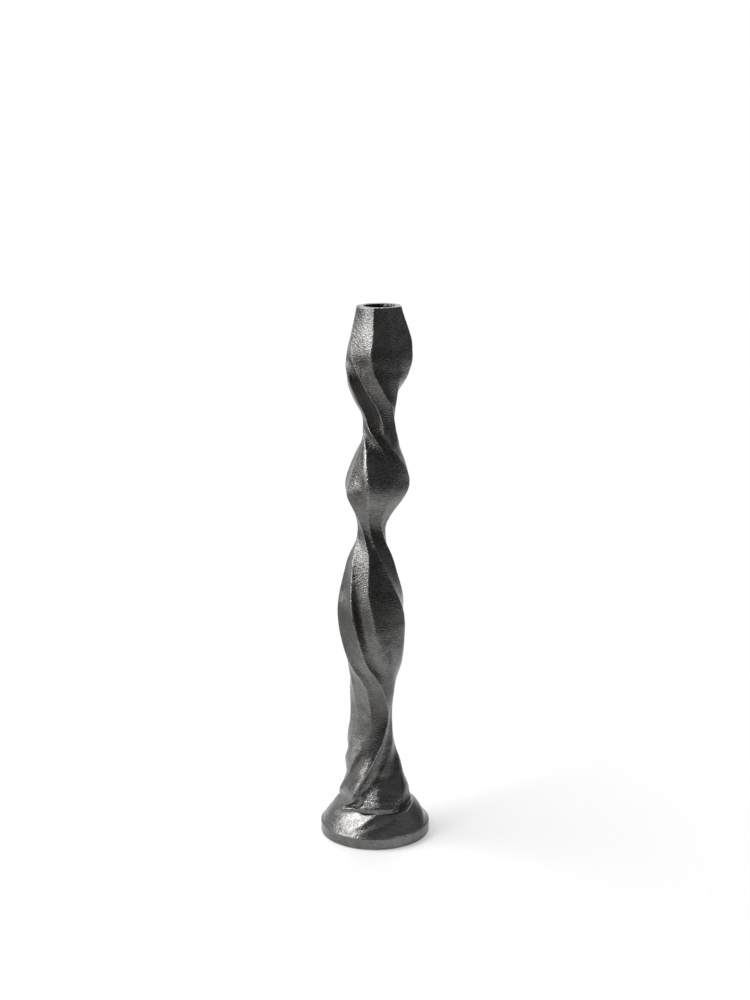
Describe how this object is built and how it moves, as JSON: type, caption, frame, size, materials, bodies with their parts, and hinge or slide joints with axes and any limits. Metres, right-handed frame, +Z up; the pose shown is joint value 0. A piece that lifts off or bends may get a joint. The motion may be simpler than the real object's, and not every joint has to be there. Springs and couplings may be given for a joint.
{
  "type": "candlestick",
  "caption": "Tall twisted, fluted metal candlestick on a round swirled base, with a socket in its flat rim for a dinner candle.",
  "frame": {"origin": "centre of the felt pad's underside, on the table, under the middle of the round base", "axes": "+Z up along the stem, -Y towards the pictured side, +X to its right"},
  "size_m": [0.082, 0.082, 0.4],
  "materials": {
    "cast_metal": "blackened rough casting, waxed to a soft gloss",
    "fixing_steel": "zinc-plated steel fixings",
    "felt": "pressed wool felt"
  },
  "bodies": {
    "root": {"stem": "cast_metal", "base": "cast_metal", "tie_stud": "fixing_steel", "hex_nut": "fixing_steel", "spring_washer": "fixing_steel", "flat_washer": "fixing_steel", "locating_pins": "fixing_steel", "felt_pad": "felt"}
  },
  "joints": []
}
